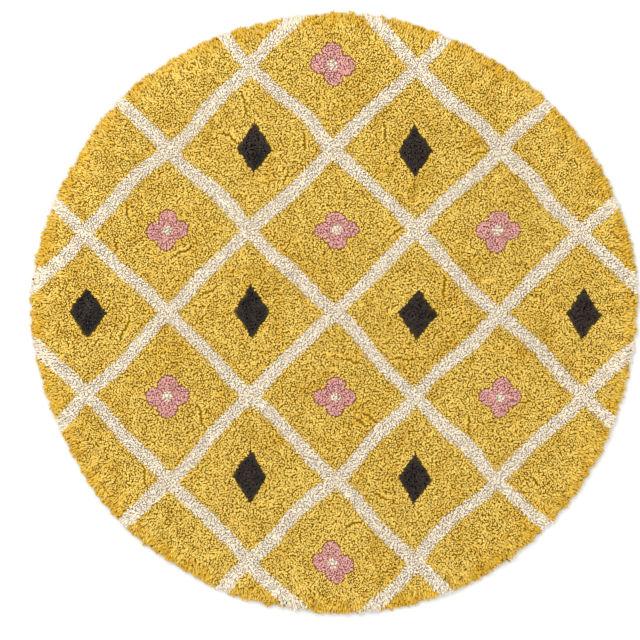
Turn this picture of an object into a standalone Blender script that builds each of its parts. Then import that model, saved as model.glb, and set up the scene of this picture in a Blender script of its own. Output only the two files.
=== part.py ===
"""Round hand-tufted cotton rug, lying flat on the floor.

Metres, +Z up. The flat underside lies on z = 0, the middle of the rug stands over the origin, and +Y
points to the top of its pattern. The rug is one soft piece, so it is one solid: a thick, lumpy disc of
cut pile. Round its rim the pile has nothing to lean on and falls outwards in separate locks, in two
rows. The lower row rests on the floor, and the upper row droops over it.
"""

import math
import random
from collections import namedtuple

import bmesh
import bpy
from mathutils import Vector, geometry, noise

MM = 0.001

# Driving sizes
DIAMETER = 800 * MM          # over the pile, on average
LOCK_REACH = 13 * MM         # how far the pile at the rim falls out past the cloth that it is tufted in
PILE_TOP = 16.4 * MM         # mean height of the pile's surface above the floor
RIM_DROP = 4.5 * MM          # how much lower that surface lies where the pile opens at the rim
RIM_WIDTH = 14 * MM          # how quickly it drops there

# Lumps on top: long waves from the way the rug lies, and clumps of tufts that lean together
WAVE_LENGTH = 150 * MM
WAVE_LIFT = 0.9 * MM
CLUMP_LENGTH = 36 * MM
CLUMP_LIFT = 3.4 * MM
CLUMP_PITCH = 17 * MM        # distance between the points that carry the lumps
CLUMP_SHIFT = 3.5 * MM       # how far each of them may lie from its even place
CLUMP_CLEARANCE = 10 * MM    # least distance from any of them to the wall's top edge

# The rim: a wall of two rows of faces, one face to a sector
SECTORS = 240
WAIST_HEIGHT = 6.5 * MM      # where the two rows of locks part
WAIST_SWELL = 1.5 * MM       # how far the wall stands out there
SHOULDER_INSET = 3 * MM      # how far its top edge lies in from the cloth's edge

# Locks: one to a sector, in the lower row and the upper row by turns, each drawn out in two steps
Step = namedtuple("Step", "reach_share width_left height_left")
LOCK_STEPS = (
    Step(reach_share=0.55, width_left=0.90, height_left=0.70),
    Step(reach_share=0.45, width_left=0.58, height_left=0.55),
)
LOCK_UNEVEN = 2.2 * MM       # how much longer or shorter a lock may be
LOCK_SIDEWAYS = 2.2 * MM     # how far its tip may lie to one side
LOCK_DROOP = (2.0 * MM, 4.0 * MM)    # least and most that an upper lock's tip hangs below its root

MUSTARD = (0.68, 0.40, 0.055)    # linear colour of the ground yarn
COTTON_ROUGHNESS = 0.95
SMOOTH_ANGLE = math.radians(60)
SAME_POINT = 0.001 * MM      # points nearer than this count as one when the top is divided into triangles
SEED = 12

# The outline isn't a true circle: where it bulges or draws in, by how much, and how far along the rim
Bulge = namedtuple("Bulge", "angle_deg out_mm spread_deg")
BULGES = (
    Bulge(angle_deg=10, out_mm=4.0, spread_deg=9),
    Bulge(angle_deg=30, out_mm=2.0, spread_deg=7),
    Bulge(angle_deg=66, out_mm=-4.0, spread_deg=12),
    Bulge(angle_deg=101, out_mm=-3.0, spread_deg=7),
    Bulge(angle_deg=135, out_mm=4.0, spread_deg=6),
    Bulge(angle_deg=177, out_mm=5.0, spread_deg=10),
    Bulge(angle_deg=206, out_mm=-3.0, spread_deg=8),
    Bulge(angle_deg=237, out_mm=-3.0, spread_deg=7),
    Bulge(angle_deg=262, out_mm=-2.5, spread_deg=6),
    Bulge(angle_deg=271, out_mm=2.0, spread_deg=4),
    Bulge(angle_deg=295, out_mm=2.0, spread_deg=8),
    Bulge(angle_deg=345, out_mm=-2.0, spread_deg=8),
)


def outline_radius(angle):
    """Radius of the pile's outline in one direction, counted from +X towards +Y."""
    radius = DIAMETER / 2
    for bulge in BULGES:
        turn = angle - math.radians(bulge.angle_deg)
        away_deg = math.degrees(math.atan2(math.sin(turn), math.cos(turn)))
        radius += bulge.out_mm * MM * math.exp(-0.5 * (away_deg / bulge.spread_deg) ** 2)
    return radius


def cloth_radius(angle):
    """Radius of the cloth under the pile, from which the rim's locks start."""
    return outline_radius(angle) - LOCK_REACH


def pile_height(x, y):
    """Height of the pile's surface over a point: long waves, clumps, and a drop towards the rim."""
    place = Vector((x, y, 0))
    wave = WAVE_LIFT * noise.noise(place / WAVE_LENGTH)
    clump = CLUMP_LIFT * noise.noise(place / CLUMP_LENGTH)
    from_rim = cloth_radius(math.atan2(y, x)) - place.length
    return PILE_TOP + wave + clump - RIM_DROP * math.exp(-from_rim / RIM_WIDTH)


def clump_points():
    """Places of the lumps: rows of a triangular lattice, each point shifted a little, clear of the rim."""
    draw = random.Random(SEED)
    row_gap = CLUMP_PITCH * math.sqrt(3) / 2
    reach = int(DIAMETER / 2 / row_gap) + 1
    points = []
    for row in range(-reach, reach + 1):
        for column in range(-reach, reach + 1):
            x = (column + 0.5 * (row % 2)) * CLUMP_PITCH + draw.uniform(-CLUMP_SHIFT, CLUMP_SHIFT)
            y = row * row_gap + draw.uniform(-CLUMP_SHIFT, CLUMP_SHIFT)
            room = cloth_radius(math.atan2(y, x)) - SHOULDER_INSET - math.hypot(x, y)
            if room > CLUMP_CLEARANCE:
                points.append((x, y))
    return points


def add_ring(bm, inset, height=None):
    """A ring of one vertex to a sector, inset from the cloth's edge, flat or on the pile's surface."""
    ring = []
    for sector in range(SECTORS):
        angle = math.tau * sector / SECTORS
        radius = cloth_radius(angle) - inset
        x, y = radius * math.cos(angle), radius * math.sin(angle)
        ring.append(bm.verts.new((x, y, pile_height(x, y) if height is None else height)))
    return ring


def add_wall(bm, low, high):
    """The faces between two rings, in the order of their sectors."""
    return [
        bm.faces.new((low[i], low[(i + 1) % SECTORS], high[(i + 1) % SECTORS], high[i]))
        for i in range(SECTORS)
    ]


def add_top(bm, shoulder):
    """The lumpy surface inside the shoulder ring, as triangles between the clump points."""
    inner = [bm.verts.new((x, y, pile_height(x, y))) for x, y in clump_points()]
    verts = shoulder + inner
    flat = [vert.co.to_2d() for vert in verts]
    edges = [(i, (i + 1) % SECTORS) for i in range(SECTORS)]
    inside_only = 1
    _, _, triangles, sources, _, _ = geometry.delaunay_2d_cdt(flat, edges, [], inside_only, SAME_POINT)
    for triangle in triangles:
        face = bm.faces.new([verts[sources[corner][0]] for corner in triangle])
        face.normal_update()
        if face.normal.z < 0:
            face.normal_flip()


def pull_lock(bm, face, reach, sideways, droop, on_floor):
    """Draw a face of the wall out into a tapered lock of four sides, in two steps that bend."""
    out = face.calc_center_median()
    out.z = 0
    out.normalize()
    across = Vector((-out.y, out.x, 0))
    for step in LOCK_STEPS:
        face = bmesh.ops.extrude_discrete_faces(bm, faces=[face])["faces"][0]
        pivot = face.calc_center_median()
        if on_floor:
            pivot.z = 0
        shift = step.reach_share * (reach * out + sideways * across)
        shift.z -= step.reach_share * droop
        narrowing = Vector((step.width_left, step.width_left, step.height_left))
        for vert in face.verts:
            vert.co = pivot + narrowing * (vert.co - pivot) + shift


def add_locks(bm, lower_wall, upper_wall):
    """One lock to a sector, by turns in the lower and the upper row, none quite like the next."""
    draw = random.Random(SEED + 1)
    for sector in range(SECTORS):
        on_floor = sector % 2 == 0
        face = (lower_wall if on_floor else upper_wall)[sector]
        middle = face.calc_center_median()
        angle = math.atan2(middle.y, middle.x)
        reach = outline_radius(angle) - middle.to_2d().length + draw.uniform(-1, 1) * LOCK_UNEVEN
        sideways = draw.uniform(-1, 1) * LOCK_SIDEWAYS
        droop = 0 if on_floor else draw.uniform(*LOCK_DROOP)
        pull_lock(bm, face, reach, sideways, droop, on_floor)


def centre_on_origin(bm):
    """Shift the rug so that the middle of its length and width stands over the origin."""
    for axis in (0, 1):
        values = [vert.co[axis] for vert in bm.verts]
        middle = (min(values) + max(values)) / 2
        for vert in bm.verts:
            vert.co[axis] -= middle


def mustard_cotton():
    """Soft cotton yarn of the rug's ground colour, without gloss."""
    material = bpy.data.materials.new("mustard cotton pile")
    material.use_nodes = True
    shader = material.node_tree.nodes["Principled BSDF"]
    shader.inputs["Base Color"].default_value = (*MUSTARD, 1)
    shader.inputs["Roughness"].default_value = COTTON_ROUGHNESS
    shader.inputs["Metallic"].default_value = 0
    return material


def build_rug():
    bm = bmesh.new()
    base = add_ring(bm, inset=0, height=0)
    waist = add_ring(bm, inset=-WAIST_SWELL, height=WAIST_HEIGHT)
    shoulder = add_ring(bm, inset=SHOULDER_INSET)
    bm.faces.new(reversed(base))
    lower_wall = add_wall(bm, base, waist)
    upper_wall = add_wall(bm, waist, shoulder)
    add_top(bm, shoulder)
    add_locks(bm, lower_wall, upper_wall)
    centre_on_origin(bm)
    mesh = bpy.data.meshes.new("rug")
    bm.to_mesh(mesh)
    bm.free()
    mesh.shade_smooth()
    mesh.set_sharp_from_angle(angle=SMOOTH_ANGLE)
    mesh.materials.append(mustard_cotton())
    rug = bpy.data.objects.new("rug", mesh)
    bpy.context.scene.collection.objects.link(rug)
    return rug


for old in list(bpy.data.objects):
    bpy.data.objects.remove(old)
build_rug()
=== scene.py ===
# %% [markdown]
# A round hand-tufted cotton rug, seen from straight above.
# A tufted rug is a cloth with thousands of short yarn ends sewn through it. What the eye reads as its
# surface is only the tips of those ends, and what it reads as texture is the dark gaps between them.
# So this lesson makes the rug the way it is made: first the cloth, then the pattern, then a place for
# every yarn end, then one end that is bent and copied tens of thousands of times, and last the light.

# %% Load the frame
import math
from collections import namedtuple

import bpy
import numpy as np
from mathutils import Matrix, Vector, noise
from mathutils.bvhtree import BVHTree


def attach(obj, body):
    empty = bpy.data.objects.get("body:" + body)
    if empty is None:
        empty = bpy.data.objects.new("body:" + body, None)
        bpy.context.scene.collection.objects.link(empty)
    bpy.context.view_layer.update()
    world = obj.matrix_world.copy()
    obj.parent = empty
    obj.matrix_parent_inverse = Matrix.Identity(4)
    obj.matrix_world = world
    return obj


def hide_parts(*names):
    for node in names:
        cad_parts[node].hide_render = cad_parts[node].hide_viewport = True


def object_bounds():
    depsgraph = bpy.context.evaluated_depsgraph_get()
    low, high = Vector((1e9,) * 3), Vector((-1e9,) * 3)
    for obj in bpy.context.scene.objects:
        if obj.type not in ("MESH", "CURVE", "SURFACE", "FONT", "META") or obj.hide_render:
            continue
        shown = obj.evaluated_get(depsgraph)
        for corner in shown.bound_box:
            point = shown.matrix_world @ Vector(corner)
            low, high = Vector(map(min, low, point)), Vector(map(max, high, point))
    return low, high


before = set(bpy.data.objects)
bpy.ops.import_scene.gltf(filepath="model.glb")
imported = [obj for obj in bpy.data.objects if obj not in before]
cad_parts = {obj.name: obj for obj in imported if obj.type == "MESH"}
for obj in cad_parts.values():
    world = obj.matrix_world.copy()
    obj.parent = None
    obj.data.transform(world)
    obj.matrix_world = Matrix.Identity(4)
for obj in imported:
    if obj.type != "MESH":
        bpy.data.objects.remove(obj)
cad_low, cad_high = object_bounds()
print("CAD box in m:", [round(v, 4) for v in (*cad_low, *cad_high)])

# %% [markdown]
# Blender counts in metres, and a rug is thought of in millimetres, so every size below is written as a
# number times MM. All random draws come from one generator with a fixed seed, so that the rug is the
# same rug each time.

# %% Units, and the seed of every random draw
MM = 0.001
SEED = 2024
draws = np.random.default_rng(SEED)

# %% [markdown]
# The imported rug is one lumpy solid. Its flat underside is as large as the cloth, and the locks at its
# rim start from the cloth's edge. The cloth's radius could be written down as a number, but read from
# the solid it always fits: in each direction it is the shortest distance from the middle to a point of
# the underside's edge.

# %% Read the cloth's edge from the solid
EDGE_SLICES = 120
FLOOR_LEVEL = 0.05 * MM

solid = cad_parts["rug"]
corners = np.array([vert.co for vert in solid.data.vertices])
on_floor = corners[corners[:, 2] < FLOOR_LEVEL]
floor_radius = np.hypot(on_floor[:, 0], on_floor[:, 1])
floor_slice = (np.arctan2(on_floor[:, 1], on_floor[:, 0]) / math.tau * EDGE_SLICES) % EDGE_SLICES
edge_radius = np.array([floor_radius[floor_slice.astype(int) == i].min() for i in range(EDGE_SLICES)])
edge_angle = (np.arange(EDGE_SLICES) + 0.5) * math.tau / EDGE_SLICES


def cloth_radius(angle):
    """Distance from the middle of the rug to the cloth's edge, in one direction or in many."""
    return np.interp(np.mod(angle, math.tau), edge_angle, edge_radius, period=math.tau)


print("cloth radius in mm:", round(edge_radius.min() / MM, 1), "to", round(edge_radius.max() / MM, 1))

# %% [markdown]
# The height of the pile comes from the solid too. A ray that is cast straight down on it gives the
# level at which the maker's shears have cut the pile there. Near the edge the solid opens into locks,
# so a point there takes the level of the nearest point further in. The solid's mesh is only read.

# %% Read the pile's level from the solid
ABOVE = 100 * MM
WHOLE_TO = 6 * MM            # how far in from the cloth's edge the solid's top is still whole

tree = BVHTree.FromObject(solid, bpy.context.evaluated_depsgraph_get())


def pile_level(x, y):
    """Height at which the pile is cut over each of many points."""
    angle = np.arctan2(y, x)
    radius = np.minimum(np.hypot(x, y), cloth_radius(angle) - WHOLE_TO)
    places = zip(radius * np.cos(angle), radius * np.sin(angle))
    return np.array([tree.ray_cast((a, b, ABOVE), (0, 0, -1))[0].z for a, b in places])


print("pile level in the middle in mm:", (pile_level(np.zeros(1), np.zeros(1)) / MM).round(1))

# %% [markdown]
# Yarn ends that are neighbours lean alike, stand alike and have a like tone, so single random draws
# would look like sand. Smooth noise changes little by little, over a length that each use chooses. It is
# a field in space, and each use cuts it at a level of its own, so that no two uses run alike. The plain
# noise function gives the same values each time, while noise_vector starts from the clock.

# %% Smooth noise
LEAN_LEVEL, TONE_LEVEL, CLUMP_TONE_LEVEL, LIFT_LEVEL = 0.5, 3.5, 5.5, 9.5
WOBBLE_LEVELS = (7.5, 11.5)    # for the wobble along X and along Y


def smooth_noise(x, y, length, level):
    """One smooth random value for each point, which changes over a given length."""
    return np.array([noise.noise(Vector((a / length, b / length, level))) for a, b in zip(x, y)])


# %% [markdown]
# Materials are built from nodes. One function adds a node, sets its settings and its sockets, and
# links what comes from other nodes, so that each material reads as a list of what it is made of.
# Colours are written as sRGB hex, as they look on a screen, and Cycles wants them linear.

# %% Helpers for materials
SRGB_BEND, SRGB_SLOPE, SRGB_OFFSET, SRGB_POWER = 0.04045, 12.92, 0.055, 2.4    # from the sRGB standard
MIX_A, MIX_B, MIX_RESULT = 6, 7, 2    # places of a Mix node's colour sockets, whose names aren't unique


def linear(hex_colour):
    """An sRGB colour such as "D9A441" as linear red, green, blue and alpha."""
    channels = []
    for channel in bytes.fromhex(hex_colour):
        share = channel / 255
        bent = ((share + SRGB_OFFSET) / (1 + SRGB_OFFSET)) ** SRGB_POWER
        channels.append(share / SRGB_SLOPE if share <= SRGB_BEND else bent)
    return (*channels, 1)


def add_node(material, kind, sockets=None, **settings):
    """Add a node. A socket's value is a number, a colour, or another node's output to link."""
    node = material.node_tree.nodes.new(kind)
    for name, value in settings.items():
        setattr(node, name, value)
    for name, value in (sockets or {}).items():
        if isinstance(value, bpy.types.NodeSocket):
            material.node_tree.links.new(value, node.inputs[name])
        else:
            node.inputs[name].default_value = value
    return node


def mix_colours(material, share, colour_a, colour_b):
    """Mix two colours, each of them a colour or a node's output, by a share from 0 to 1."""
    mix = add_node(material, "ShaderNodeMix", {"Factor": share}, data_type="RGBA")
    for place, colour in ((MIX_A, colour_a), (MIX_B, colour_b)):
        if isinstance(colour, bpy.types.NodeSocket):
            material.node_tree.links.new(colour, mix.inputs[place])
        else:
            mix.inputs[place].default_value = colour
    return mix.outputs[MIX_RESULT]


def new_material(name):
    """An empty material with an output, and its name for the finish that it stands for."""
    material = bpy.data.materials.new(name)
    material.use_nodes = True
    material.node_tree.nodes.clear()
    add_node(material, "ShaderNodeOutputMaterial")
    return material


def finish_material(material, shader):
    """Link the shader to the material's output."""
    output = material.node_tree.nodes["Material Output"]
    material.node_tree.links.new(shader.outputs["BSDF"], output.inputs["Surface"])
    return material


# %% [markdown]
# Dyed cotton yarn is matt, with a faint bloom of loose fibres that catches light at a flat angle:
# hence a high roughness, little specular and some sheen. No two ends take the dye quite alike, so each
# end has a tone of its own, kept in a point attribute. The plies of the yarn wind round it, which the
# UV map shows: it runs round the end in U and along it in V. Low in the pile the light has passed from
# yarn to yarn and has taken on their colour, and that is painted into the yarn: each end starts at its
# root in a painted colour, which is painted shade in the dyed yarns, and painted light, paler than the
# yarn, in the cream one, which lets the light through. The fibres are far finer than a pixel here, and
# are drawn as wisps of 1.2 mm, as coarse as they need to be to show.

# %% Cotton yarn in four colours
FIBRE = 1.2 * MM
FIBRE_DETAIL = 2.0             # octaves of the noise that stands for the fibres
FIBRE_SHARE = 0.45             # how much the fibres change an end's tone
PLIES = 3                      # plies round the yarn
PLY_TURNS = 1.5                # how often a ply comes round along an end
PLY_SHARE = 0.6                # how much of the root's painted shade is painted into the grooves between the plies
DIAGONAL_WAVE = math.tau / 10  # scale at which a diagonal wave repeats once for each unit of its vector
PAINTED_SHADE_ENDS = 0.55              # share of an end's length over which the painted colour at its root fades
PLY_RELIEF = 0.5               # height of the plies, against the fibres' height of 1
YARN_RELIEF = 0.3 * MM
YARN_BUMP = 0.5
YARN_ROUGHNESS = 0.92
YARN_SPECULAR = 0.15
YARN_SHEEN = 0.12

# The first colour after the finish is painted at an end's root: painted shade in the dyed yarns, painted
# light in the cream one. The last two bound each end's own tone.
Dye = namedtuple("Dye", "slot finish shade dark light")
DYES = (
    Dye("mustard_yarn", "mustard cotton yarn", shade="B88E06", dark="D7AA28", light="F3D56D"),
    Dye("cream_yarn", "undyed cotton yarn", shade="FAF2E2", dark="D8C8AB", light="E6D7BD"),
    Dye("charcoal_yarn", "charcoal cotton yarn", shade="120E0C", dark="0B0807", light="43372E"),
    Dye("pink_yarn", "pink cotton yarn", shade="CE8E86", dark="C48A80", light="E4AFA6"),
)
MUSTARD, CREAM, CHARCOAL, PINK = range(len(DYES))


def cotton_yarn(dye):
    """Cotton yarn whose ends range between two tones, over a painted shading at their roots."""
    material = new_material(dye.finish)
    place = add_node(material, "ShaderNodeTexCoord")
    tone = add_node(material, "ShaderNodeAttribute", attribute_name="tone")
    fibres = add_node(material, "ShaderNodeTexNoise",
                      {"Vector": place.outputs["Object"], "Scale": 1 / FIBRE, "Detail": FIBRE_DETAIL})
    wound = add_node(material, "ShaderNodeMapping",
                     {"Vector": place.outputs["UV"], "Scale": (PLIES, PLY_TURNS, 1)})
    plies = add_node(material, "ShaderNodeTexWave",
                     {"Vector": wound.outputs["Vector"], "Scale": DIAGONAL_WAVE},
                     bands_direction="DIAGONAL")
    with_fibres = add_node(material, "ShaderNodeMath",
                           {0: fibres.outputs["Fac"], 1: FIBRE_SHARE, 2: tone.outputs["Fac"]},
                           operation="MULTIPLY_ADD")
    share = add_node(material, "ShaderNodeMath", {0: with_fibres.outputs["Value"], 1: FIBRE_SHARE / 2},
                     operation="SUBTRACT", use_clamp=True)
    dyed = mix_colours(material, share.outputs["Value"], linear(dye.dark), linear(dye.light))
    along = add_node(material, "ShaderNodeSeparateXYZ", {"Vector": place.outputs["UV"]})
    above_root = add_node(material, "ShaderNodeMapRange",
                          {"Value": along.outputs["Y"], "From Min": 0.0, "From Max": PAINTED_SHADE_ENDS})
    # Painted shade in the grooves between the plies.
    on_ply = add_node(material, "ShaderNodeMapRange",
                      {"Value": plies.outputs["Fac"], "To Min": 1 - PLY_SHARE})
    in_light = add_node(material, "ShaderNodeMath",
                        {0: above_root.outputs["Result"], 1: on_ply.outputs["Result"]},
                        operation="MULTIPLY")
    # Painted shade: towards the root, the dyed colour gives way to the painted root colour, and in the
    # ply grooves too.
    colour = mix_colours(material, in_light.outputs["Value"], linear(dye.shade), dyed)
    relief = add_node(material, "ShaderNodeMath",
                      {0: plies.outputs["Fac"], 1: PLY_RELIEF, 2: fibres.outputs["Fac"]},
                      operation="MULTIPLY_ADD")
    bump = add_node(material, "ShaderNodeBump",
                    {"Height": relief.outputs["Value"], "Strength": YARN_BUMP, "Distance": YARN_RELIEF})
    shader = add_node(material, "ShaderNodeBsdfPrincipled", {
        "Base Color": colour, "Normal": bump.outputs["Normal"],
        "Roughness": YARN_ROUGHNESS, "Specular IOR Level": YARN_SPECULAR, "Sheen Weight": YARN_SHEEN})
    return finish_material(material, shader)


yarn_materials = [cotton_yarn(dye) for dye in DYES]
print("yarns:", [material.name for material in yarn_materials])

# %% [markdown]
# Deeper down the yarn ends stand so close that they are one body, of which only a quilted top shows at
# the bottom of the gaps. Its colour is painted shade: the yarns' painted root colours, darkened further
# and kept in a colour attribute, and small hollows 3 mm apart, about as far as the ends are from each
# other, painted darker still.

# %% Material of the imported yarn between the ends
PACKED_PITCH = 3 * MM
HOLLOW_STARTS, HOLLOW_ENDS = 0.2, 0.8    # shares of the pitch between which the painted shade in a cushion's hollow deepens
# painted shade: how much darker the hollows between the cushions are painted
PAINTED_HOLLOW_SHADE = 0.2
CUSHION_RELIEF = 1.5 * MM
CUSHION_BUMP = 0.8
BLACK = (0, 0, 0, 1)


def packed_yarn():
    """Yarn ends packed side by side: round cushions in the painted colour that the attribute gives, with
    painted shade in their hollows.
    """
    material = new_material("packed cotton yarn")
    place = add_node(material, "ShaderNodeTexCoord")
    shade = add_node(material, "ShaderNodeAttribute", attribute_name="shade")
    cells = add_node(material, "ShaderNodeTexVoronoi",
                     {"Vector": place.outputs["Object"], "Scale": 1 / PACKED_PITCH})
    painted_hollow_shade = add_node(material, "ShaderNodeMapRange",
                       {"Value": cells.outputs["Distance"], "From Min": HOLLOW_STARTS,
                        "From Max": HOLLOW_ENDS, "To Max": PAINTED_HOLLOW_SHADE})
    # Painted shade: the hollows are mixed towards black.
    colour = mix_colours(material, painted_hollow_shade.outputs["Result"], shade.outputs["Color"], BLACK)
    bump = add_node(material, "ShaderNodeBump",
                    {"Height": cells.outputs["Distance"], "Strength": CUSHION_BUMP,
                     "Distance": CUSHION_RELIEF}, invert=True)
    shader = add_node(material, "ShaderNodeBsdfPrincipled", {
        "Base Color": colour, "Normal": bump.outputs["Normal"],
        "Roughness": YARN_ROUGHNESS, "Specular IOR Level": YARN_SPECULAR})
    return finish_material(material, shader)


packed_material = packed_yarn()
print("between the yarn ends:", packed_material.name)

# %% [markdown]
# The ground cloth is plain woven cotton. Only its underside can be seen, because the pile falls out over
# its edge. Its weave is two sets of ridges on the object's own coordinates, at a thread spacing of 2 mm,
# which is that of a strong, coarse cloth. Where the ridges sink, the colour is painted darker, a painted
# shade, and where they cross it is lighter.

# %% Ground cloth's material
THREAD = 2 * MM
THREAD_RELIEF = 0.4 * MM
THREAD_WAVER = 0.4             # how much the threads stray from straight
STRAIGHT_WAVE = math.tau / 20  # scale at which a wave along one axis repeats once for each unit
CLOTH_BUMP = 0.6
CLOTH_ROUGHNESS = 0.9
CLOTH_SPECULAR = 0.2


def woven_cotton(name, dark, light):
    """Plain weave: threads along X and Y, each set a row of rounded ridges, with painted shade where they
    sink.
    """
    material = new_material(name)
    place = add_node(material, "ShaderNodeTexCoord")
    waves = [
        add_node(material, "ShaderNodeTexWave",
                 {"Vector": place.outputs["Object"], "Scale": STRAIGHT_WAVE / THREAD,
                  "Distortion": THREAD_WAVER}, bands_direction=direction)
        for direction in ("X", "Y")
    ]
    weave = add_node(material, "ShaderNodeMath",
                     {0: waves[0].outputs["Fac"], 1: waves[1].outputs["Fac"]}, operation="MULTIPLY")
    # Painted shade: the colour follows the weave's height, darker where the threads sink.
    colour = mix_colours(material, weave.outputs["Value"], linear(dark), linear(light))
    bump = add_node(material, "ShaderNodeBump",
                    {"Height": weave.outputs["Value"], "Strength": CLOTH_BUMP,
                     "Distance": THREAD_RELIEF})
    shader = add_node(material, "ShaderNodeBsdfPrincipled", {
        "Base Color": colour, "Normal": bump.outputs["Normal"],
        "Roughness": CLOTH_ROUGHNESS, "Specular IOR Level": CLOTH_SPECULAR})
    return finish_material(material, shader)


cloth_material = woven_cotton("unbleached woven cotton", dark="A08F74", light="CFC2A8")
print("below the pile:", cloth_material.name)

# %% [markdown]
# The ground cloth is a round cut from a flat cloth. A circle primitive gives the round, its corners are
# moved to the edge that was read from the solid, and in edit mode the face is extruded up by the
# cloth's thickness. A bevel then wears its edge.

# %% Ground cloth
CLOTH_THICKNESS = 2.2 * MM
CLOTH_EDGE_POINTS = 180
CLOTH_WORN = 0.5 * MM


def deselect_all():
    """Leave nothing selected, because an operator acts on all that is."""
    if bpy.context.mode != "OBJECT":
        bpy.ops.object.mode_set(mode="OBJECT")
    bpy.ops.object.select_all(action="DESELECT")


def recalculate_normals():
    """In edit mode, turn every face of the object outwards."""
    bpy.ops.mesh.select_all(action="SELECT")
    bpy.ops.mesh.normals_make_consistent(inside=False)


def stands_for_rug(piece):
    """Let a piece ride with the rug and stand for its solid, which is hidden."""
    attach(piece, "root")
    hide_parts("rug")


deselect_all()
bpy.ops.mesh.primitive_circle_add(vertices=CLOTH_EDGE_POINTS, radius=1, fill_type="NGON")
cloth = bpy.context.object
cloth.name = "ground_cloth"
for vert in cloth.data.vertices:
    angle = math.atan2(vert.co.y, vert.co.x)
    vert.co = float(cloth_radius(angle)) * Vector((math.cos(angle), math.sin(angle), 0))
bpy.ops.object.mode_set(mode="EDIT")
bpy.ops.mesh.select_all(action="SELECT")
bpy.ops.mesh.extrude_region_move(TRANSFORM_OT_translate={"value": (0, 0, CLOTH_THICKNESS)})
recalculate_normals()
bpy.ops.object.mode_set(mode="OBJECT")
bevel = cloth.modifiers.new("worn edge", "BEVEL")
bevel.width = CLOTH_WORN
bevel.segments = 2
bevel.limit_method = "ANGLE"
bpy.ops.object.modifier_apply(modifier=bevel.name)
cloth.data.materials.append(cloth_material)
stands_for_rug(cloth)
print("ground cloth:", len(cloth.data.polygons), "faces")

# %% [markdown]
# The pattern is a traditional trellis. Cream lines cross at right angles, on the slant and one pair of
# them in the rug's middle. In the cells between them a charcoal lozenge and a pink blossom with a cream
# middle take turns. Each figure is a signed distance: how far a point lies outside it, in metres, and
# below zero inside. That gives both the colour of a yarn end and how near it is to a change of colour,
# where the maker trims a groove. The pitch is such that no line runs along the rim, and a cell that the
# rim cuts into is left plain.

# %% Trellis pattern
TRELLIS_PITCH = 155 * MM
LINE_WIDTH = 17.5 * MM
FIGURES_TO = 365 * MM        # distance from the rug's middle within which the cells have figures
FAR_OFF = 1.0                # distance that stands for no figure at all
PETAL_RADIUS = 12.5 * MM
PETAL_OFFSET = 15 * MM       # from the blossom's middle to the middle of a petal
BLOSSOM_MIDDLE = 6 * MM      # radius of its cream middle
LOZENGE_HALF_WIDTH = 23 * MM
LOZENGE_HALF_HEIGHT = 34 * MM
HAND_WOBBLE = 7 * MM         # how far the hand that drew the pattern strayed
WOBBLE_LENGTH = 70 * MM
DIAGONAL = math.sqrt(0.5)


def line_distance(u, v):
    """Distance to the nearest cream line, in coordinates along the slanting lines."""
    across = [abs(w - np.round(w / TRELLIS_PITCH) * TRELLIS_PITCH) for w in (u, v)]
    return np.minimum(*across) - LINE_WIDTH / 2


def blossom_distance(x, y):
    """Distance to a blossom of four round petals that meet in its middle."""
    sideways = np.hypot(abs(x) - PETAL_OFFSET, y)
    upright = np.hypot(x, abs(y) - PETAL_OFFSET)
    return np.minimum(sideways, upright) - PETAL_RADIUS


def lozenge_distance(x, y):
    """Distance to a lozenge that stands on its point."""
    slope = math.hypot(LOZENGE_HALF_WIDTH, LOZENGE_HALF_HEIGHT)
    inside = abs(x) / LOZENGE_HALF_WIDTH + abs(y) / LOZENGE_HALF_HEIGHT - 1
    return inside * LOZENGE_HALF_WIDTH * LOZENGE_HALF_HEIGHT / slope


def pattern(x, y):
    """The yarn at each point, and its distances to a blossom's or lozenge's edge and to a line's."""
    u, v = DIAGONAL * (x + y), DIAGONAL * (y - x)
    column, row = np.floor(u / TRELLIS_PITCH), np.floor(v / TRELLIS_PITCH)
    in_u, in_v = u - (column + 0.5) * TRELLIS_PITCH, v - (row + 0.5) * TRELLIS_PITCH
    in_x, in_y = DIAGONAL * (in_u - in_v), DIAGONAL * (in_u + in_v)
    has_blossom = np.mod(column + row, 2) == 0
    figure = np.where(has_blossom, blossom_distance(in_x, in_y), lozenge_distance(in_x, in_y))
    is_plain = np.hypot(column + 0.5, row + 0.5) * TRELLIS_PITCH > FIGURES_TO
    figure = np.where(is_plain, FAR_OFF, figure)
    line = line_distance(u, v)
    yarn = np.where(figure < 0, np.where(has_blossom, PINK, CHARCOAL), MUSTARD)
    is_middle = has_blossom & ~is_plain & (np.hypot(in_x, in_y) < BLOSSOM_MIDDLE)
    yarn = np.where(is_middle, CREAM, yarn)
    yarn = np.where(line < 0, CREAM, yarn)
    return yarn, figure, line


def drawn_place(x, y):
    """Where each point falls on the pattern, after the wandering of the hand that drew it."""
    wobble_x, wobble_y = (HAND_WOBBLE * smooth_noise(x, y, WOBBLE_LENGTH, at) for at in WOBBLE_LEVELS)
    return x + wobble_x, y + wobble_y


# %% [markdown]
# The body of the pile is what lies between the cloth and the loose ends: a low dome that follows the
# pile's level at a depth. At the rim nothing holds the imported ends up, so it bulges out over the edge
# of the cloth and is rounded off. A grid primitive has even, square faces with no pole in its middle.
# Its rings of squares are drawn out to rings of the rug, its points are lifted to their level, and its
# border is extruded down and filled, which closes it.

# %% Body of the pile
BODY_CELLS = 110
BULGE = 9 * MM               # how far the body stands out over the cloth's edge
FREE_DEPTH = 3.75 * MM       # depth to which the yarn ends stand free
ROUNDED = 20 * MM            # how far in from its own edge the body is rounded off
BODY_LIFT = 2.0 * MM         # height of its underside, a little inside the cloth
BODY_BORDER = 0.6 * MM       # height of its border above that
BODY_PAINTED_SHADE = 0.65            # how much of an end's painted root colour is left between the roots, as a further painted shade


def inside_edge(x, y):
    """How far in from the edge of the pile's body each of many points lies."""
    return cloth_radius(np.arctan2(y, x)) + BULGE - np.hypot(x, y)


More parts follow.
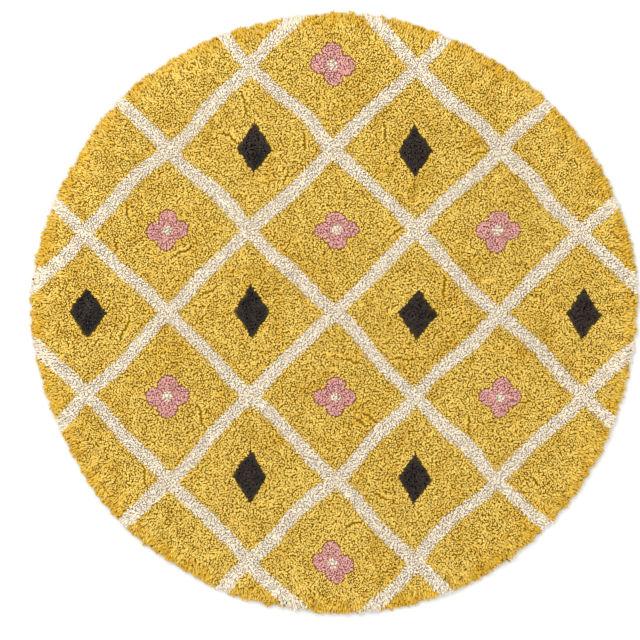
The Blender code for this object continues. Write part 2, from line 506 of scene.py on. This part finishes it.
def body_level(x, y):
    """Height of the body's top over each of many points."""
    nearness = 1 - np.clip(inside_edge(x, y) / ROUNDED, 0, 1)
    lowest = BODY_LIFT + BODY_BORDER
    return lowest + (pile_level(x, y) - FREE_DEPTH - lowest) * np.sqrt(1 - nearness**2)


deselect_all()
bpy.ops.mesh.primitive_grid_add(x_subdivisions=BODY_CELLS, y_subdivisions=BODY_CELLS, size=2)
body = bpy.context.object
body.name = "packed_pile"
square = np.array([vert.co for vert in body.data.vertices])
angle = np.arctan2(square[:, 1], square[:, 0])
radius = abs(square[:, :2]).max(axis=1) * (cloth_radius(angle) + BULGE)
body_x, body_y = radius * np.cos(angle), radius * np.sin(angle)
dome = np.column_stack((body_x, body_y, body_level(body_x, body_y)))
body.data.vertices.foreach_set("co", dome.ravel())
bpy.ops.object.mode_set(mode="EDIT")
bpy.ops.mesh.select_all(action="SELECT")
bpy.ops.mesh.region_to_loop()
bpy.ops.mesh.extrude_edges_move(TRANSFORM_OT_translate={"value": (0, 0, -BODY_BORDER)})
bpy.ops.mesh.edge_face_add()
recalculate_normals()
bpy.ops.object.mode_set(mode="OBJECT")
body.data.shade_smooth()
corners = np.array([vert.co for vert in body.data.vertices])
yarn_there, _, _ = pattern(*drawn_place(corners[:, 0], corners[:, 1]))
# Painted shade: the body takes each yarn's painted root colour, darkened further.
painted_shadings = np.array([linear(dye.shade) for dye in DYES])[yarn_there]
painted_shadings[:, :3] *= BODY_PAINTED_SHADE
shade = body.data.color_attributes.new("shade", "FLOAT_COLOR", "POINT")
shade.data.foreach_set("color", painted_shadings.ravel())
body.data.materials.append(packed_material)
stands_for_rug(body)
print("body of the pile:", len(body.data.polygons), "faces")

# %% [markdown]
# Each yarn end comes out of the body somewhere. A tufter follows the edge with a few rows, and fills
# the rest more loosely. The rows are rings inset from the body's edge. The rest is a triangular lattice
# with every point shifted a little, which is even but never lines up.

# %% Roots of the yarn ends
END_PITCH = 2.75 * MM        # from one end to the next, away from the rim
ROOT_SHIFT = 0.7 * MM        # how far a root may lie from its even place
EDGE_ROWS = 6
EDGE_ROW_GAP = 2.0 * MM
EDGE_END_GAP = 2.3 * MM      # from one end to the next, in a row
EDGE_END_SHIFT = 0.3         # how far along its row a root may stray, as a share of that
EDGE_HEM = 0.8 * MM          # from the body's edge to the first row
EDGE_UNEVEN = 1.5 * MM       # how far a root may stray out of its row


def edge_roots():
    """Rows of roots that follow the edge of the body."""
    rows = []
    for row in range(EDGE_ROWS):
        inset = EDGE_HEM + row * EDGE_ROW_GAP
        count = int(math.tau * (edge_radius.mean() + BULGE - inset) / EDGE_END_GAP)
        along = np.arange(count) + draws.uniform(-EDGE_END_SHIFT, EDGE_END_SHIFT, count)
        angle = along * math.tau / count
        radius = cloth_radius(angle) + BULGE - inset + draws.uniform(-EDGE_UNEVEN, EDGE_UNEVEN, count)
        rows.append(np.column_stack((radius * np.cos(angle), radius * np.sin(angle))))
    return np.concatenate(rows)


def inner_roots():
    """Roots on a shifted triangular lattice, inside the rows at the edge."""
    row_gap = END_PITCH * math.sqrt(3) / 2
    reach = int((edge_radius.max() + BULGE) / row_gap) + 1
    column, row = np.meshgrid(np.arange(-reach, reach + 1), np.arange(-reach, reach + 1))
    points = np.column_stack(((column + 0.5 * (row % 2)).ravel() * END_PITCH, row.ravel() * row_gap))
    points += draws.uniform(-ROOT_SHIFT, ROOT_SHIFT, points.shape)
    return points[inside_edge(*points.T) > EDGE_HEM + (EDGE_ROWS - 0.5) * EDGE_ROW_GAP]


roots = np.concatenate((edge_roots(), inner_roots()))
root_x, root_y = roots.T
END_COUNT = len(roots)
print("yarn ends:", END_COUNT)

# %% [markdown]
# A yarn end leans. Three things decide which way: at the rim nothing holds the pile up and it falls
# outwards, further in whole clumps lean together, and every end has a will of its own. Here and there
# the pile parts and shows a short dark seam, because it leans away from a line on both sides.

# %% Which way each end leans
RIM_LEAN = 4.3 * MM                      # outward lean at the edge
RIM_LEAN_UNEVEN = 0.25                   # how much it varies from end to end
RIM_LEAN_DEPTH = 24 * MM                 # how quickly it fades inwards
RIM_EVEN = 0.8                           # how much of its inset from the edge an end's reach makes up for
RIM_EVEN_DEPTH = 8 * MM
RIM_STEADY = 0.4                         # how much of the clumps' lean is gone at the edge
MIDDLE_LEAN = 2.5 * MM                   # lean of the clumps
LEAN_UNEVEN = 0.2                        # how much it varies from end to end
CLUMP = 13 * MM                          # length over which clumps change their direction
SWIRL_STEP = 0.02                        # share of that length over which the noise's slope is taken
LOOSE_SHARE = 0.3                        # an end's own will, against the clump's
OUTWARD_SHARE = 0.2                      # a slight drift outwards, all over the rug
LEAST_LEAN, MOST_LEAN = 0.6, 1.5         # as shares of the clumps' lean
PARTINGS = 34
PARTINGS_TO = 350 * MM                   # how far from the rug's middle they may lie
PARTING_LENGTH = (18 * MM, 40 * MM)
PARTING_LEAN = 4.2 * MM                  # how far the ends beside a parting lean away from it
PARTING_WIDTH = 3.6 * MM
PARTING_WANDER = 1.5 * MM                # how far its line wanders to either side
PARTING_WANDER_LENGTH = 4.5 * MM
PLATEAU = 4                              # power that holds a fade off for long and then ends it fast
MIDDLE_HALF = (25, 75)                   # percentiles between which half of all values lie


def swirl(x, y, length, level):
    """Directions that turn smoothly but never run together or apart, so they leave no bald spot."""
    step = SWIRL_STEP * length
    here, right, above = (
        smooth_noise(x + across, y + up, length, level)
        for across, up in ((0, 0), (step, 0), (0, step))
    )
    return np.column_stack((above - here, here - right)) * (length / step)


def add_partings(lean, x, y):
    """The lean with the partings in it: beside a parting's line the ends only lean away from it."""
    for _ in range(PARTINGS):
        place = draws.uniform(0, math.tau)
        far = PARTINGS_TO * math.sqrt(draws.uniform(0, 1))
        angle = draws.uniform(0, math.tau)
        parting_length = draws.uniform(*PARTING_LENGTH)
        away_x, away_y = x - far * math.cos(place), y - far * math.sin(place)
        along = away_x * math.cos(angle) + away_y * math.sin(angle)
        side = -away_x * math.sin(angle) + away_y * math.cos(angle)
        side = side + PARTING_WANDER * np.sin(along / PARTING_WANDER_LENGTH)
        share = np.exp(-(side / PARTING_WIDTH) ** 2 - (2 * along / parting_length) ** PLATEAU)
        across = np.array([-math.sin(angle), math.cos(angle)])
        push = PARTING_LEAN * np.sign(side)[:, None] * across
        lean = lean + share[:, None] * (push - lean)
    return lean


outward = roots / np.maximum(np.hypot(root_x, root_y), MM)[:, None]
from_edge = inside_edge(root_x, root_y)
rim_share = np.exp(-from_edge / RIM_LEAN_DEPTH)
way = swirl(root_x, root_y, CLUMP, LEAN_LEVEL)
way += LOOSE_SHARE * draws.normal(size=roots.shape) + OUTWARD_SHARE * outward
strength = np.linalg.norm(way, axis=1)
print("strength of the lean, middle half:", np.percentile(strength, MIDDLE_HALF).round(2))
way *= (np.clip(strength, LEAST_LEAN, MOST_LEAN) / strength)[:, None]
length = MIDDLE_LEAN * (1 + LEAN_UNEVEN * draws.normal(size=END_COUNT)) * (1 - RIM_STEADY * rim_share)
rim_length = RIM_LEAN * rim_share + RIM_EVEN * from_edge * np.exp(-from_edge / RIM_EVEN_DEPTH)
rim_length *= 1 + RIM_LEAN_UNEVEN * draws.normal(size=END_COUNT)
lean = way * length[:, None] + outward * rim_length[:, None]
lean = add_partings(lean, root_x, root_y)
print("lean in mm, middle half:", np.percentile(np.hypot(*lean.T) / MM, MIDDLE_HALF).round(1))

# %% [markdown]
# The eye sees the tip of an end and not its root, so the end takes its colour from the pattern at a
# point most of the way to its tip. That keeps the edges of the figures clean although the ends lean
# over them, and near an edge they lean less. Round each blossom and lozenge the maker trims a groove,
# and the ends on both sides lean away from it.

# %% Colour of each end, and the trimmed grooves
SEEN_LEAN = 0.7              # share of the way from root to tip at which an end takes its colour
FIGURE_CALM = 0.55           # how much less an end leans at the edge of a blossom or lozenge
LINE_CALM = 0.35             # and at the edge of a line
CALM_WIDTH = 7 * MM
GROOVE_LEAN = 1.8 * MM       # how far the ends beside a groove lean away from it
GROOVE_WIDTH = 3.5 * MM
SLOPE_STEP = 0.5 * MM        # distance over which the slope of a figure's distance is taken

_, figure, line = pattern(*drawn_place(root_x, root_y))
figure_calm = FIGURE_CALM * np.exp(-(figure / CALM_WIDTH) ** 2)
line_calm = LINE_CALM * np.exp(-(line / CALM_WIDTH) ** 2)
calm = np.maximum(figure_calm, line_calm)
lean *= (1 - calm * (1 - rim_share))[:, None]
seen_x, seen_y = (roots + SEEN_LEAN * lean * (1 - rim_share)[:, None]).T
drawn_x, drawn_y = drawn_place(seen_x, seen_y)
yarn_of, figure, _ = pattern(drawn_x, drawn_y)
_, figure_right, _ = pattern(drawn_x + SLOPE_STEP, drawn_y)
_, figure_above, _ = pattern(drawn_x, drawn_y + SLOPE_STEP)
slope = np.column_stack((figure_right - figure, figure_above - figure)) / SLOPE_STEP
groove = GROOVE_LEAN * np.sign(figure) * np.exp(-(figure / GROOVE_WIDTH) ** 2)
lean += groove[:, None] * slope
print("share of each yarn:", [round(float((yarn_of == i).mean()), 3) for i in range(len(DYES))])

# %% [markdown]
# The shears cut the pile level, so a tip lies at the solid's surface, whatever the lean. Walking and
# washing then leave some clumps a little higher than others. At the rim the yarns are as long but fall,
# and their tips hang lower the nearer their roots are to the edge.

# %% Where each end starts and stops
CUT_UNEVEN = 0.3 * MM
CLUMP_LIFT, LIFT_LENGTH = 1.9 * MM, 10 * MM      # how much clumps differ in height, and how wide they are
RIM_TIP = 3.0 * MM                               # height of the tips at the edge
RIM_TIP_UNEVEN = 1.8 * MM
RIM_TIP_DEPTH = 8 * MM                           # how quickly the tips rise from there
LOWEST_TIP = 2.6 * MM
ROOT_SUNK = 1.5 * MM                             # how deep a root sits in the body of the pile

fall = np.exp(-from_edge / RIM_TIP_DEPTH)
clump_lift = CLUMP_LIFT * smooth_noise(root_x, root_y, LIFT_LENGTH, LIFT_LEVEL)
tip_z = (pile_level(root_x, root_y) + clump_lift) * (1 - fall) + RIM_TIP * fall
tip_z += draws.normal(size=END_COUNT) * (CUT_UNEVEN * (1 - fall) + RIM_TIP_UNEVEN * fall)
tips = np.column_stack((roots + lean, np.maximum(tip_z, LOWEST_TIP)))
starts = np.column_stack((roots, body_level(root_x, root_y) - ROOT_SUNK))
tip_reach = np.hypot(tips[:, 0], tips[:, 1]).max()
print("tips reach", round(tip_reach / MM, 1), "mm, and the CAD box", round(cad_high.x / MM, 1))

# %% [markdown]
# One yarn end is modelled, and all the others are copies of it. It is a three-sided stem, which smooth
# shading makes look round: it is about two pixels wide, and with tens of thousands of copies every
# face counts. A circle primitive gives the lower row, where it bends. It is extruded up to the upper row
# and on to the tip, where it is merged to a point, as the fibres of a cut end draw together. The open
# edge that is left below is drawn down to a point too, which lies inside the body of the pile.

# %% The one yarn end
STEM_SIDES = 3
STEM_ROWS = (0.0, 0.4, 0.85, 1.0)        # heights of the root, the lower row, the upper row and the tip
STEM_WIDTHS = (0.0, 1.15, 1.0, 0.0)      # half the width there, as a share of the yarn's radius


def model_end():
    """A straight stem of height 1 and radius 1, as corners (turn, share of height) and faces."""
    deselect_all()
    root, lower, upper, tip = STEM_ROWS
    bpy.ops.mesh.primitive_circle_add(vertices=STEM_SIDES, location=(0, 0, lower))
    stem = bpy.context.object
    bpy.ops.object.transform_apply()
    bpy.ops.object.mode_set(mode="EDIT")
    bpy.ops.mesh.select_all(action="SELECT")
    for rise in (upper - lower, tip - upper):
        bpy.ops.mesh.extrude_edges_move(TRANSFORM_OT_translate={"value": (0, 0, rise)})
    bpy.ops.mesh.merge(type="CENTER")
    bpy.ops.mesh.select_all(action="DESELECT")
    bpy.ops.mesh.select_non_manifold()
    bpy.ops.mesh.extrude_edges_move(TRANSFORM_OT_translate={"value": (0, 0, root - lower)})
    bpy.ops.mesh.merge(type="CENTER")
    recalculate_normals()
    bpy.ops.object.mode_set(mode="OBJECT")
    corners = np.array([vert.co for vert in stem.data.vertices])
    faces = [tuple(face.vertices) for face in stem.data.polygons]
    bpy.data.objects.remove(stem)
    return corners, faces


stem_corners, stem_faces = model_end()
print("one yarn end:", len(stem_corners), "corners, faces of", [len(face) for face in stem_faces])

# %% [markdown]
# Each copy of the stem is bent along its own curve: it leaves the body of the pile upright, bends over
# and ends at its tip, with a sideways curl that makes the little worms the pile is known by. The curve
# is a Bezier curve with four points, and the corners of the stem are laid round it at right angles. All
# copies are worked out at once as arrays.

# %% Bend the copies
YARN_RADIUS = 1.46 * MM
YARN_RADIUS_UNEVEN = 0.12
CURL = 0.75 * MM             # how far an end curls sideways
RISE = 0.62                  # share of its height to which it first heads straight up
BEND = 0.45                  # share of its reach over which it then lies down
ARCH = 0.12                  # how much higher than its tip it bows, at a long lean
LONG_LEAN = 10 * MM
UPRIGHT = 0.1 * MM           # below this lean an end counts as upright and has no sideways

end_radius = YARN_RADIUS * (1 + YARN_RADIUS_UNEVEN * draws.normal(size=END_COUNT))
end_curl = CURL * draws.normal(size=END_COUNT)
end_turn = draws.uniform(0, math.tau, END_COUNT)


def end_curves(chosen):
    """The four points of each chosen end's Bezier curve."""
    start, tip = starts[chosen], tips[chosen]
    way = tip - start
    flat = way * (1, 1, 0)
    flat_length = np.linalg.norm(flat, axis=1)
    sideways = np.column_stack((-flat[:, 1], flat[:, 0], np.zeros(len(chosen))))
    sideways /= np.maximum(flat_length, UPRIGHT)[:, None]
    rise = start + way * (0, 0, RISE)
    bend = tip - BEND * flat + sideways * end_curl[chosen][:, None]
    bend[:, 2] += ARCH * way[:, 2] * np.minimum(1, flat_length / LONG_LEAN)
    return start, rise, bend, tip


def end_corners(chosen):
    """The place of every corner of every chosen end, as one long list."""
    share = stem_corners[:, 2][None, :, None]
    rest = 1 - share
    a, b, c, d = (point[:, None, :] for point in end_curves(chosen))
    middle = rest**3 * a + 3 * rest**2 * share * b + 3 * rest * share**2 * c + share**3 * d
    along = rest**2 * (b - a) + 2 * rest * share * (c - b) + share**2 * (d - c)
    along /= np.linalg.norm(along, axis=2, keepdims=True)
    turn = end_turn[chosen][:, None, None]
    guide = np.concatenate((np.cos(turn), np.sin(turn), np.zeros_like(turn)), axis=2)
    first = guide - along * (guide * along).sum(axis=2, keepdims=True)
    first /= np.linalg.norm(first, axis=2, keepdims=True)
    second = np.cross(along, first)
    width = np.interp(stem_corners[:, 2], STEM_ROWS, STEM_WIDTHS)[None, :, None]
    width = width * end_radius[chosen][:, None, None]
    x, y = stem_corners[:, 0][None, :, None], stem_corners[:, 1][None, :, None]
    return (middle + width * (x * first + y * second)).reshape(-1, 3)


# %% [markdown]
# The tone of an end is its own luck with the dye, which is a draw, with painted light and shade over
# it: two smooth noises, a broad one and one as wide as a clump, stand in for the shading of the pile's
# lumps and clumps. At the rim, where the ends lie on their sides, they are painted darker, a painted
# shade.

# %% Tone of each end
TONE_MIDDLE = 0.8                                # 0 is a dye's dark tone, and 1 its light one
TONE_OWN = 0.12                                  # how much it differs from end to end
TONE_BROAD, BROAD_LENGTH = 0.3, 50 * MM          # how much painted light and shade, and over what length
TONE_CLUMP, CLUMP_TONE_LENGTH = 0.48, 12 * MM
RIM_PAINTED_SHADE, RIM_PAINTED_SHADE_DEPTH = 0.55, 17 * MM         # how much darker the rim is painted, as painted shade, and how far in

end_tone = TONE_MIDDLE + TONE_OWN * draws.normal(size=END_COUNT)
# Painted light and shade: two smooth noises stand in for the shading of the pile's lumps and clumps.
end_tone += TONE_BROAD * smooth_noise(root_x, root_y, BROAD_LENGTH, TONE_LEVEL)
end_tone += TONE_CLUMP * smooth_noise(root_x, root_y, CLUMP_TONE_LENGTH, CLUMP_TONE_LEVEL)
# Painted shade: the ends at the rim are painted darker.
end_tone -= RIM_PAINTED_SHADE * np.exp(-(from_edge / RIM_PAINTED_SHADE_DEPTH) ** PLATEAU)
end_tone = np.clip(end_tone, 0, 1)
print("tones, middle half:", np.percentile(end_tone, MIDDLE_HALF).round(2))

# %% [markdown]
# The copies of one piece are written to one mesh. Blender's operators could duplicate and join objects,
# but not tens of thousands of them, so the arrays go straight to the mesh: corners, then faces, then a
# UV map and the tone. U and V come from the stem's own corners: their turn and their share of the height.

# %% Make a piece of pile
HALF_TURN = 0.5
ON_AXIS = 0.5                # corners nearer to the stem's axis than this are its root and its tip


def stem_uv():
    """U round the stem and V along it, for each corner of each face of the one end."""
    places = []
    for face in stem_faces:
        sides = [i for i in face if np.hypot(*stem_corners[i, :2]) > ON_AXIS]
        turn = {i: math.atan2(stem_corners[i, 1], stem_corners[i, 0]) / math.tau % 1 for i in sides}
        if max(turn.values()) - min(turn.values()) > HALF_TURN:
            turn = {i: value + 1 if value < HALF_TURN else value for i, value in turn.items()}
        middle = sum(turn.values()) / len(turn)
        places += [(turn.get(i, middle), stem_corners[i, 2]) for i in face]
    return np.array(places)


def make_pile(name, chosen, material):
    """One piece of pile: the chosen ends as one mesh, with UVs and each end's tone."""
    mesh = bpy.data.meshes.new(name)
    step = len(stem_corners)
    first_corner = (np.arange(len(chosen)) * step)[:, None]
    face_corners = np.array([i for face in stem_faces for i in face])
    face_sizes = np.tile([len(face) for face in stem_faces], len(chosen))
    mesh.vertices.add(step * len(chosen))
    mesh.vertices.foreach_set("co", end_corners(chosen).ravel())
    mesh.loops.add(len(face_corners) * len(chosen))
    mesh.loops.foreach_set("vertex_index", (first_corner + face_corners[None, :]).ravel())
    mesh.polygons.add(len(face_sizes))
    mesh.polygons.foreach_set("loop_start", np.concatenate(([0], np.cumsum(face_sizes)[:-1])))
    mesh.update(calc_edges=True)
    uv = mesh.uv_layers.new(name="round and along")
    uv.uv.foreach_set("vector", np.tile(stem_uv(), (len(chosen), 1)).ravel())
    tone = mesh.attributes.new("tone", "FLOAT", "POINT")
    tone.data.foreach_set("value", np.repeat(end_tone[chosen], step))
    mesh.shade_smooth()
    mesh.materials.append(material)
    piece = bpy.data.objects.new(name, mesh)
    bpy.context.scene.collection.objects.link(piece)
    stands_for_rug(piece)
    return piece


# %% [markdown]
# A piece may hold only so many triangles, so the ends of one colour are divided into wedges of the rug,
# like slices of a cake, until each piece is small enough.

# %% Make the pile, one piece for each colour and wedge
ENDS_A_PIECE = 16000         # of 12 triangles each, so that a piece stays under 200,000

pile = []
for index, dye in enumerate(DYES):
    chosen = np.flatnonzero(yarn_of == index)
    chosen = chosen[np.argsort(np.arctan2(root_y[chosen], root_x[chosen]))]
    wedges = np.array_split(chosen, math.ceil(len(chosen) / ENDS_A_PIECE))
    for number, wedge in enumerate(wedges, start=1):
        name = dye.slot.replace("_yarn", "_pile")
        name = name if len(wedges) == 1 else f"{name}_{number}"
        pile.append(make_pile(name, wedge, yarn_materials[index]))
counts = [sum(len(face.vertices) - 2 for face in piece.data.polygons) for piece in (cloth, body, *pile)]
print("triangles a piece:", counts, "in all:", sum(counts))

# %% [markdown]
# The ground cloth was cut as a round, and the pile is sewn to it.

# %% [markdown]
# The camera hangs straight above the rug and looks down, with +Y up in the picture. A long lens far
# away keeps the rim from being seen at a slant. The rug lies a little right of the picture's middle
# and above it, so the camera is that much to its left and below it.

# %% Camera
PICTURE_WIDTH = 848 * MM     # how much the picture takes in, at the level of the rug's top
CAMERA_LEFT = 18.5 * MM
CAMERA_BELOW = 8.5 * MM
CAMERA_HEIGHT = 4.5

camera = bpy.data.objects.new("camera", bpy.data.cameras.new("camera"))
bpy.context.scene.collection.objects.link(camera)
camera.location = (-CAMERA_LEFT, -CAMERA_BELOW, cad_high.z + CAMERA_HEIGHT)
camera.data.lens = camera.data.sensor_width * CAMERA_HEIGHT / PICTURE_WIDTH
bpy.context.scene.camera = camera
print("lens in mm:", round(camera.data.lens, 1))

# %% [markdown]
# The picture shows the rug on plain white, in soft light from all round with a little more from the
# upper left, enough to give each yarn end a bright and a dark side. A pale world does the first, and a
# wide area light overhead the second, with a weak one across from it. The floor's paint is a light grey,
# which that much light shows as white, and which still darkens close to the rug's rim, where the photo
# has a thin greyish line.

# %% Floor and light
FLOOR_SIZE = 14.0
FLOOR_GAP = 0.3 * MM         # below the cloth, so that the two faces don't lie in each other
FLOOR_ROUGHNESS = 0.8

deselect_all()
bpy.ops.mesh.primitive_plane_add(size=FLOOR_SIZE, location=(0, 0, -FLOOR_GAP))
floor = bpy.context.object
floor.name = "floor"
floor_paint = new_material("light grey studio paint")
floor_shader = add_node(floor_paint, "ShaderNodeBsdfPrincipled",
                        {"Base Color": linear("D5D5D3"), "Roughness": FLOOR_ROUGHNESS})
floor.data.materials.append(finish_material(floor_paint, floor_shader))

Lamp = namedtuple("Lamp", "name place size power")
LAMPS = (
    Lamp("overhead softbox", place=(-1.1, 1.3, 2.6), size=1.6, power=50),
    Lamp("fill softbox", place=(1.6, -1.2, 2.2), size=2.4, power=10),
)
for lamp in LAMPS:
    light = bpy.data.objects.new(lamp.name, bpy.data.lights.new(lamp.name, "AREA"))
    light.data.size = lamp.size
    light.data.energy = lamp.power
    light.location = lamp.place
    light.rotation_euler = (-Vector(lamp.place)).to_track_quat("-Z", "Y").to_euler()
    light.visible_camera = False
    bpy.context.scene.collection.objects.link(light)

WORLD_STRENGTH = 1.26
world = bpy.data.worlds.new("pale studio")
world.use_nodes = True
world.node_tree.nodes["Background"].inputs["Color"].default_value = linear("FFFFFF")
world.node_tree.nodes["Background"].inputs["Strength"].default_value = WORLD_STRENGTH
bpy.context.scene.world = world
bpy.context.scene.view_settings.view_transform = "Standard"
print("lamps:", [lamp.name for lamp in LAMPS])
